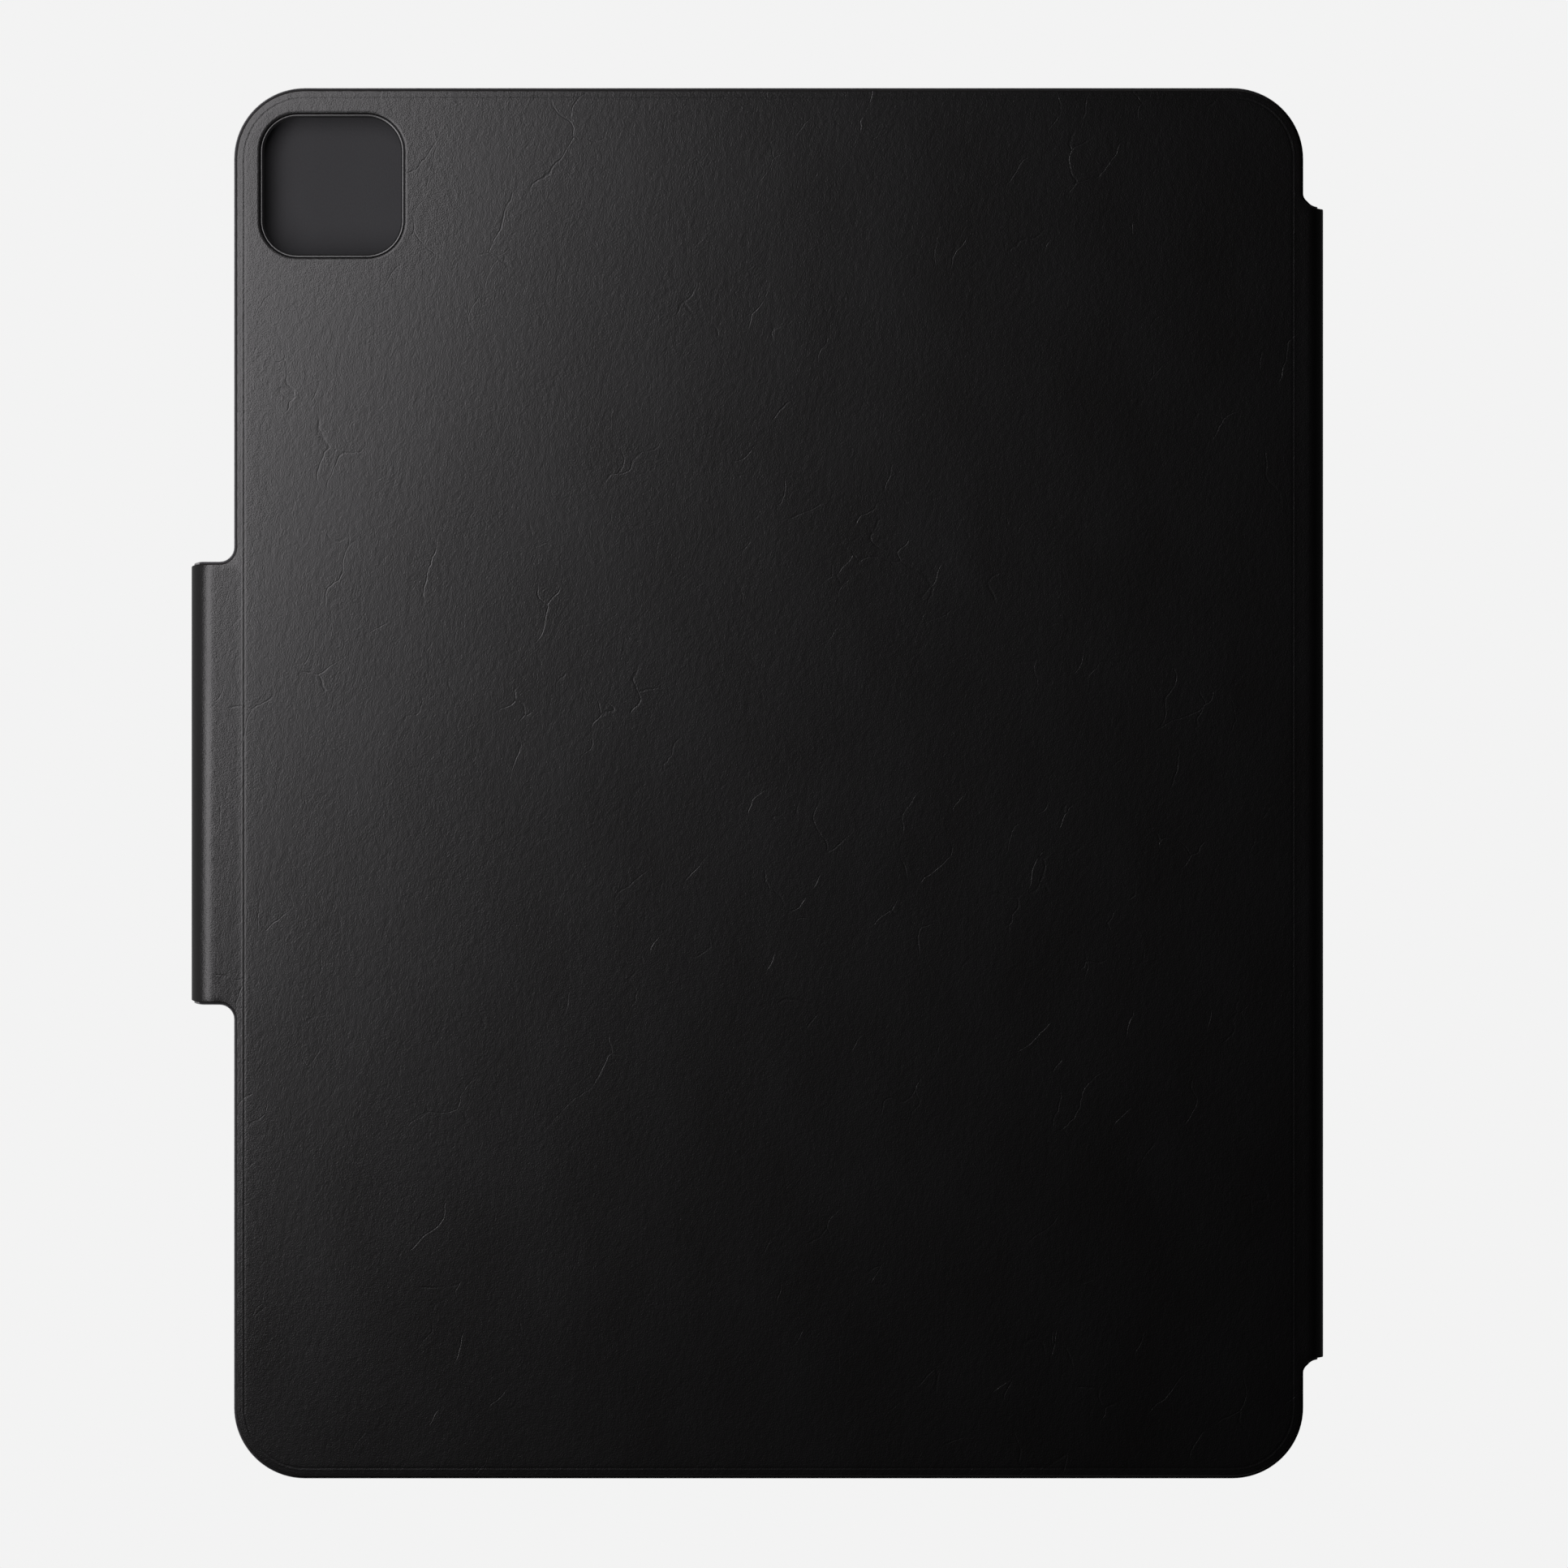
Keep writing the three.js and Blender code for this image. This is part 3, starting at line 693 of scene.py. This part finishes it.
def flap_piece(name, low, high, layer, materials, is_tongue, seams, shift):
    """One piece of the flap's leather or lining between two values of s."""
    is_leather = layer == "leather"
    inset = RIM if is_leather else 0
    radius = EDGE_ROUND if is_leather else LINING_EDGE_ROUND
    if is_tongue:
        columns = spread(low, LATCH_START, WALL_GRID) + roll_columns(LATCH_START, LATCH_ROLL)[1:]
        marks = [TONGUE_START, TONGUE_START + BOARD_INSET]
        marks += [TONGUE_STOP - TONGUE_RADIUS, TONGUE_STOP - BOARD_INSET]
        columns += [s for s in steps_between(marks) if s > TONGUE_START + SMALL]
        edge = tongue_edge
    else:
        columns = [low, *roll_columns(-FLAP_TURN, FLAP_ROLL)]
        columns += spread(FLAP_WALL_START, high, WALL_GRID)[1:]
        edge = flap_edge
    edges = [edge(inset + offset, columns) for offset in round_offsets(radius)]
    rings = []
    if is_tongue and not is_leather:
        for d in LINING_RAMP:
            corner = TONGUE_RADIUS - d
            rings.append(half_ring(TONGUE_START + d, TONGUE_STOP - d, FLAP_HALF - d, corner, columns))
    lines = [part for line in mirrored(edges + rings) for part in clipped(line, low, high)]
    free_edge = mirrored(edges[:1])

    def allowed(points):
        clear = np.abs(points[:, 1]) < FLAP_HALF - inset - radius - CLEAR
        clear &= points[:, 0] < TONGUE_STOP - TONGUE_RADIUS / 2
        if rings:
            depth = tongue_inset(points)
            clear &= (depth < 1) | (depth > LINING_RAMP[-1] + CLEAR)
        return clear

    flat, triangles = flat_mesh(lines, grid_of(columns, allowed), seams, free_edge)
    edge_gap = distance_to(flat, free_edge)
    if is_leather:
        top = np.zeros(len(flat))
        under = top - FLAP_LEATHER
    else:
        top = np.full(len(flat), -FLAP_LEATHER - GLUE)
        if is_tongue:
            top -= TONGUE_BOARD_STEP * ramp(tongue_inset(flat), LINING_RAMP[0], LINING_RAMP[-1])
        under = top - FLAP_LINING
    top = top - rounding(edge_gap, min(radius, FLAP_LEATHER / 2))
    # edge paint on the leather; on the lining this band is the light edge, partly a painted highlight
    edge_paint_and_highlight = edge_gap[triangles].mean(axis=1) < (PAINTED if is_leather else RIM + PAINTED)
    return shell(name, flat, triangles, place_flap, top, under, materials, edge_paint_and_highlight, shift)


# ---------------------------------------------------------------- materials
class Shader:
    """A node material, with one call for each node."""

    def __init__(self, name):
        self.material = bpy.data.materials.new(name)
        self.material.use_nodes = True
        self.tree = self.material.node_tree
        self.surface = self.tree.nodes["Principled BSDF"]

    def node(self, kind, inputs, output=0, **settings):
        node = self.tree.nodes.new(kind)
        for key, value in settings.items():
            setattr(node, key, value)
        for key, value in inputs.items():
            self.set(node, key, value)
        return node.outputs[output]

    def set(self, node, key, value):
        if isinstance(value, bpy.types.NodeSocket):
            self.tree.links.new(value, node.inputs[key])
        else:
            node.inputs[key].default_value = value

    def uniform(self, key, value):
        self.surface.inputs[key].default_value = value

    def finish(self, **inputs):
        for key, value in inputs.items():
            self.set(self.surface, key.replace("_", " "), value)
        return self.material

    def sheet(self):
        """The point's place on the unrolled sheet, in metres."""
        return self.node("ShaderNodeAttribute", {}, "Vector", attribute_name="sheet")

    def local(self):
        return self.node("ShaderNodeTexCoord", {}, "Object")

    def scaled(self, vector, factors):
        return self.node("ShaderNodeVectorMath", {0: vector, 1: factors}, operation="MULTIPLY")

    def turned(self, vector, degrees):
        turn = (0, 0, math.radians(degrees))
        return self.node("ShaderNodeMapping", {"Vector": vector, "Rotation": turn})

    def noise(self, vector, size, detail=2.0, roughness=0.5, output="Fac", **settings):
        """Noise whose blotches are about size metres across."""
        inputs = {"Vector": vector, "Scale": 1 / size, "Detail": detail, "Roughness": roughness}
        return self.node("ShaderNodeTexNoise", inputs, output, **settings)

    def drifted(self, vector, size, amount):
        """The vector moved about by slow noise."""
        drift = self.noise(vector, size, 1.0, output="Color")
        centred = self.node("ShaderNodeVectorMath", {0: drift, 1: (0.5, 0.5, 0.5)}, operation="SUBTRACT")
        moved = self.scaled(centred, (amount, amount, amount))
        return self.node("ShaderNodeVectorMath", {0: vector, 1: moved}, operation="ADD")

    def between(self, value, low, high, out_low=0.0, out_high=1.0):
        inputs = {"Value": value, "From Min": low, "From Max": high}
        inputs |= {"To Min": out_low, "To Max": out_high}
        return self.node("ShaderNodeMapRange", inputs, interpolation_type="SMOOTHSTEP")

    def sum(self, *terms):
        """The sum of (value, factor) pairs."""
        total = 0.0
        for value, factor in terms:
            inputs = {0: value, 1: factor, 2: total}
            total = self.node("ShaderNodeMath", inputs, operation="MULTIPLY_ADD")
        return total

    def product(self, first, second):
        return self.node("ShaderNodeMath", {0: first, 1: second}, operation="MULTIPLY")

    def blend(self, factor, first, second):
        inputs = {"Factor": factor, "A": (*first, 1), "B": (*second, 1)}
        node = self.tree.nodes.new("ShaderNodeMix")
        node.data_type = "RGBA"
        for key, value in inputs.items():
            sockets = [i for i in node.inputs if i.name == key and i.enabled]
            if isinstance(value, bpy.types.NodeSocket):
                self.tree.links.new(value, sockets[0])
            else:
                sockets[0].default_value = value
        return next(o for o in node.outputs if o.enabled)

    def bump(self, height, distance):
        inputs = {"Height": height, "Distance": distance, "Strength": 1.0}
        return self.node("ShaderNodeBump", inputs, "Normal")


def leather_material():
    """Fine grain with pebbles and a few thin creases, over a slow change from smoother to rougher."""
    shader = Shader("leather")
    sheet = shader.sheet()
    swayed = shader.drifted(sheet, GRAIN_SWAY_SIZE, GRAIN_SWAY)
    leaning = shader.turned(swayed, GRAIN_LEAN)
    wrinkles = shader.noise(shader.scaled(leaning, WRINKLE_STRETCH), WRINKLE_SIZE, detail=1.0)
    pebbles = shader.noise(shader.scaled(leaning, PEBBLE_STRETCH), PEBBLE_SIZE)
    bent = shader.drifted(sheet, CREASE_SPACING, CREASE_BEND)
    crumpled = shader.drifted(bent, CREASE_KINK_SIZE, CREASE_KINK)
    stretched = shader.scaled(shader.turned(crumpled, CREASE_LEAN), CREASE_STRETCH)
    veins = shader.node(
        "ShaderNodeTexVoronoi",
        {"Vector": stretched, "Scale": 1 / CREASE_SPACING},
        "Distance",
        feature="DISTANCE_TO_EDGE",
    )
    crease = shader.between(veins, 0.0, CREASE_WIDTH, 1.0, 0.0)
    patches = shader.between(shader.noise(sheet, CREASE_PATCH, detail=1.0), *PATCH_EDGE)
    lengths = shader.between(shader.noise(sheet, CREASE_LENGTH, detail=1.0), *LENGTH_EDGE)
    creases = shader.product(crease, shader.product(patches, lengths))
    height = shader.sum((wrinkles, 1.0), (pebbles, 1.0), (creases, -CREASE_DEPTH))
    clouds = shader.scaled(swayed, MOTTLE_STRETCH)
    mottle = shader.noise(clouds, MOTTLE_SIZE, detail=3.0, roughness=0.55)
    change = shader.sum((mottle, MOTTLE_ROUGHNESS), (wrinkles, WRINKLE_ROUGHNESS))
    colour = shader.blend(mottle, *LEATHER_COLOURS)
    return shader.finish(
        Base_Color=colour,
        Roughness=shader.node("ShaderNodeMath", {0: change, 1: LEATHER_ROUGHNESS}, operation="ADD"),
        Normal=shader.bump(height, LEATHER_BUMP),
    )


def edge_paint_material():
    shader = Shader("edge_paint")
    beads = shader.noise(shader.sheet(), PAINT_BEAD)
    shader.uniform("Specular IOR Level", 0.25)
    return shader.finish(
        Base_Color=shader.blend(beads, *PAINT_COLOURS),
        Roughness=shader.between(beads, 0, 1, *PAINT_ROUGHNESS),
        Normal=shader.bump(beads, PAINT_BUMP),
    )


def lining_material():
    """A short nap, brushed this way and that."""
    shader = Shader("microfibre_lining")
    sheet = shader.sheet()
    nap = shader.noise(shader.scaled(sheet, (1, 0.5, 1)), NAP_SIZE, detail=3.0, roughness=0.7)
    swept = shader.scaled(shader.drifted(sheet, STROKE_SWAY_SIZE, STROKE_SWAY), (1.6, 0.5, 1))
    strokes = shader.noise(swept, STROKE_SIZE, detail=3.0)
    shader.uniform("Sheen Weight", 0.25)
    shader.uniform("Sheen Roughness", 0.4)
    shader.uniform("Specular IOR Level", 0.3)
    return shader.finish(
        Base_Color=shader.blend(strokes, *LINING_COLOURS),
        Roughness=shader.between(nap, 0, 1, *LINING_ROUGHNESS),
        Normal=shader.bump(nap, NAP_BUMP),
    )


def lining_edge_highlight_material():
    # The lining's edge: a light grey that is partly its sealed finish and partly a painted highlight, for
    # the bright line where the light runs along the rounded edge.
    shader = Shader("lining_edge")
    fuzz = shader.noise(shader.sheet(), FUZZ_SIZE, detail=3.0, roughness=0.6)
    return shader.finish(
        Base_Color=shader.blend(fuzz, *RIM_HIGHLIGHT_COLOURS),
        Roughness=shader.between(fuzz, 0, 1, *RIM_ROUGHNESS),
        Normal=shader.bump(fuzz, FUZZ_BUMP),
    )


def board_material():
    """Glass fibre in two directions."""
    shader = Shader("fibre_board")
    place = shader.local()
    along = shader.noise(shader.scaled(place, (1, WEAVE_STRETCH, 1)), WEAVE_SIZE)
    across = shader.noise(shader.scaled(place, (WEAVE_STRETCH, 1, 1)), WEAVE_SIZE)
    weave = shader.sum((along, 0.5), (across, 0.5))
    return shader.finish(
        Base_Color=shader.blend(weave, *BOARD_COLOURS),
        Roughness=shader.between(weave, *NOISE_RANGE, *BOARD_ROUGHNESS),
        Normal=shader.bump(weave, WEAVE_BUMP),
    )


def magnet_material():
    shader = Shader("nickel_plate")
    place = shader.local()
    brushed = shader.scaled(place, (1, SCRATCH_STRETCH, 1))
    scratches = shader.noise(brushed, SCRATCH_SIZE, detail=3.0, roughness=0.7)
    haze = shader.noise(place, NICKEL_HAZE)
    wear = shader.sum((scratches, 0.6), (haze, 0.4))
    shader.uniform("Metallic", 1.0)
    return shader.finish(
        Base_Color=shader.blend(haze, *NICKEL_COLOURS),
        Roughness=shader.between(wear, *NOISE_RANGE, *NICKEL_ROUGHNESS),
        Normal=shader.bump(scratches, SCRATCH_BUMP),
    )


def trim_material():
    shader = Shader("window_trim")
    place = shader.local()
    grain = shader.noise(place, TRIM_GRAIN, detail=3.0, roughness=0.6)
    haze = shader.noise(place, TRIM_HAZE)
    shader.uniform("Specular IOR Level", 0.8)
    return shader.finish(
        Base_Color=shader.blend(haze, *TRIM_COLOURS),
        Roughness=shader.between(haze, 0, 1, *TRIM_ROUGHNESS),
        Normal=shader.bump(grain, TRIM_BUMP),
    )


leather = leather_material()
edge_paint = edge_paint_material()
lining = lining_material()
board = board_material()
nickel = magnet_material()
trim = trim_material()

for name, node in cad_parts.items():
    kind = next((k for k in ("board", "magnet", "ring", "lining") if k in name), "leather")
    material = {"board": board, "magnet": nickel, "ring": trim, "lining": lining}.get(kind, leather)
    node.data.materials.clear()
    node.data.materials.append(material)


# ---------------------------------------------------------------- leather and lining
LEATHER_LOOK = (leather, edge_paint)
# the lining's edge material is partly a painted highlight
LINING_LOOK = (lining, lining_edge_highlight_material())
BACK_SHIFT = np.array((0.0, 0.0, 0.0))
COVER_SHIFT = np.array((410.0, 0.0, 7.0))


def join(piece, nodes):
    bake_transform(piece)
    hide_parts(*nodes)


COVER_PIECES = {
    "cover_inner": (FOLD_INNER + FOLD_SEAM, SPINE_SEAM),
    "cover_middle": (FOLD_OUTER + FOLD_SEAM, FOLD_INNER + FOLD_SEAM),
    "cover_outer": (COVER_LEFT, FOLD_OUTER + FOLD_SEAM),
}
LEATHER_NODES = {
    "cover_inner": ["spine_leather", "cover_roll_leather", "cover_inner_leather"],
    "cover_middle": ["fold_inner_leather", "cover_middle_leather"],
    "cover_outer": ["fold_outer_leather", "cover_outer_leather"],
}


def as_lining(nodes):
    return [node.replace("leather", "lining") for node in nodes]


for layer, look in (("leather", LEATHER_LOOK), ("lining", LINING_LOOK)):
    is_leather = layer == "leather"
    named = (lambda nodes: nodes) if is_leather else as_lining

    back = panel_piece(
        f"back_{layer}_sheet", LEFT, NECK_SEAM, SPINE_SEAM, place_back, layer, look, True,
        [NECK_SEAM, SPINE_SEAM], BACK_SHIFT,
    )
    back_nodes = named(["back_leather", "spine_roll_leather"])
    if not is_leather:
        back_nodes.append("flap_neck_lining")
    join(back, back_nodes)

    for name, (low, high) in COVER_PIECES.items():
        seams = [x for x in (low, high) if x != COVER_LEFT]
        piece = panel_piece(
            f"{name}_{layer}_sheet", COVER_LEFT, low, high, place_cover, layer, look, False,
            seams, COVER_SHIFT,
        )
        join(piece, named(LEATHER_NODES[name]))

    flap = flap_piece(
        f"flap_{layer}_sheet", -NECK_SEAM, FLAP_SEAM, layer, look, False,
        [-NECK_SEAM, FLAP_SEAM], BACK_SHIFT,
    )
    join(
        flap,
        named(["flap_roll_leather", "flap_leather"]),
    )
    tongue = flap_piece(
        f"tongue_{layer}_sheet", FLAP_SEAM, TONGUE_STOP, layer, look, True, [FLAP_SEAM], BACK_SHIFT
    )
    join(
        tongue,
        named(["latch_roll_leather", "tongue_leather"]),
    )


# ---------------------------------------------------------------- window trim
def window_trim():
    rings = [[(x, y, z) for x, y in window_ring(extra)] for extra, z in TRIM_SECTION]
    count = len(rings[0])
    points = np.array([point for ring in rings for point in ring])
    faces = []
    for i in range(len(rings)):
        after = (i + 1) % len(rings)
        for j in range(count):
            k = (j + 1) % count
            faces.append((i * count + j, i * count + k, after * count + k, after * count + j))
    piece = mesh_object("window_trim", points, faces, [0] * len(faces), (trim,), points)
    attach(piece, "back_panel")
    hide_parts("camera_ring")


window_trim()


# ---------------------------------------------------------------- stage, light and camera
def pale_material():
    """A floor that stays evenly pale, and is clear from below so that the underside can be looked at."""
    material = bpy.data.materials.new("pale_floor")
    material.use_nodes = True
    nodes, links = material.node_tree.nodes, material.node_tree.links
    nodes.clear()
    glow = nodes.new("ShaderNodeEmission")
    glow.inputs["Color"].default_value = (PALE, PALE, PALE, 1)
    clear = nodes.new("ShaderNodeBsdfTransparent")
    mix = nodes.new("ShaderNodeMixShader")
    side = nodes.new("ShaderNodeNewGeometry")
    output = nodes.new("ShaderNodeOutputMaterial")
    links.new(side.outputs["Backfacing"], mix.inputs["Fac"])
    links.new(glow.outputs[0], mix.inputs[1])
    links.new(clear.outputs[0], mix.inputs[2])
    links.new(mix.outputs[0], output.inputs["Surface"])
    return material


def make_floor():
    mesh = bpy.data.meshes.new("floor")
    half = FLOOR_SIZE / 2
    corners = [(x * half, y * half, -FLOOR_DROP) for x, y in ((-1, -1), (1, -1), (1, 1), (-1, 1))]
    mesh.from_pydata(corners, [], [(0, 1, 2, 3)])
    mesh.materials.append(pale_material())
    floor = bpy.data.objects.new("floor", mesh)
    bpy.context.collection.objects.link(floor)
    floor.visible_diffuse = False
    floor.visible_glossy = False
    floor.visible_shadow = False


def make_world():
    """Pale to the camera. The case sees a dark studio with a soft low glow, weakest beyond the spine."""
    world = bpy.data.worlds.new("studio")
    bpy.context.scene.world = world
    world.use_nodes = True
    nodes, links = world.node_tree.nodes, world.node_tree.links
    nodes.clear()

    def faded(value, low, high, out_low, out_high):
        fade = nodes.new("ShaderNodeMapRange")
        fade.interpolation_type = "SMOOTHSTEP"
        limits = {"From Min": low, "From Max": high, "To Min": out_low, "To Max": out_high}
        for socket, number in limits.items():
            fade.inputs[socket].default_value = number
        links.new(value, fade.inputs["Value"])
        return fade.outputs[0]

    place = nodes.new("ShaderNodeTexCoord")
    split = nodes.new("ShaderNodeSeparateXYZ")
    links.new(place.outputs["Generated"], split.inputs[0])
    glow = nodes.new("ShaderNodeMath")
    glow.operation = "MULTIPLY"
    links.new(faded(split.outputs["Z"], *GLOW_HEIGHT, WORLD_GLOW, 0.0), glow.inputs[0])
    links.new(faded(split.outputs["X"], *GLOW_SIDE, 1.0, SPINE_SIDE_GLOW), glow.inputs[1])
    dim = nodes.new("ShaderNodeBackground")
    links.new(glow.outputs[0], dim.inputs["Strength"])
    pale = nodes.new("ShaderNodeBackground")
    pale.inputs["Color"].default_value = (PALE, PALE, PALE, 1)
    rays = nodes.new("ShaderNodeLightPath")
    mix = nodes.new("ShaderNodeMixShader")
    output = nodes.new("ShaderNodeOutputWorld")
    links.new(rays.outputs["Is Camera Ray"], mix.inputs["Fac"])
    links.new(dim.outputs[0], mix.inputs[1])
    links.new(pale.outputs[0], mix.inputs[2])
    links.new(mix.outputs[0], output.inputs["Surface"])


def area_light(name, place, target, size, power):
    """A soft rectangular light that the camera doesn't see."""
    light = bpy.data.lights.new(name, "AREA")
    light.shape = "RECTANGLE"
    light.size, light.size_y = size
    light.energy = power
    light.color = LIGHT_COLOUR
    lamp = bpy.data.objects.new(name, light)
    lamp.location = place
    aim = Vector(target) - Vector(place)
    lamp.rotation_euler = aim.to_track_quat("-Z", "Y").to_euler()
    lamp.visible_camera = False
    bpy.context.collection.objects.link(lamp)


def make_camera():
    data = bpy.data.cameras.new("camera")
    data.lens, data.sensor_width = LENS, SENSOR
    data.clip_end = CLIP_END
    camera = bpy.data.objects.new("camera", data)
    camera.location = (CAMERA_X, CAMERA_Y, BACK_HIGH * MM + FIELD * LENS / SENSOR)
    bpy.context.collection.objects.link(camera)
    bpy.context.scene.camera = camera


make_floor()
make_world()
area_light("key_light", LIGHT_PLACE, LIGHT_TARGET, LIGHT_SIZE, LIGHT_POWER)
make_camera()
bpy.context.scene.view_settings.view_transform = "Standard"
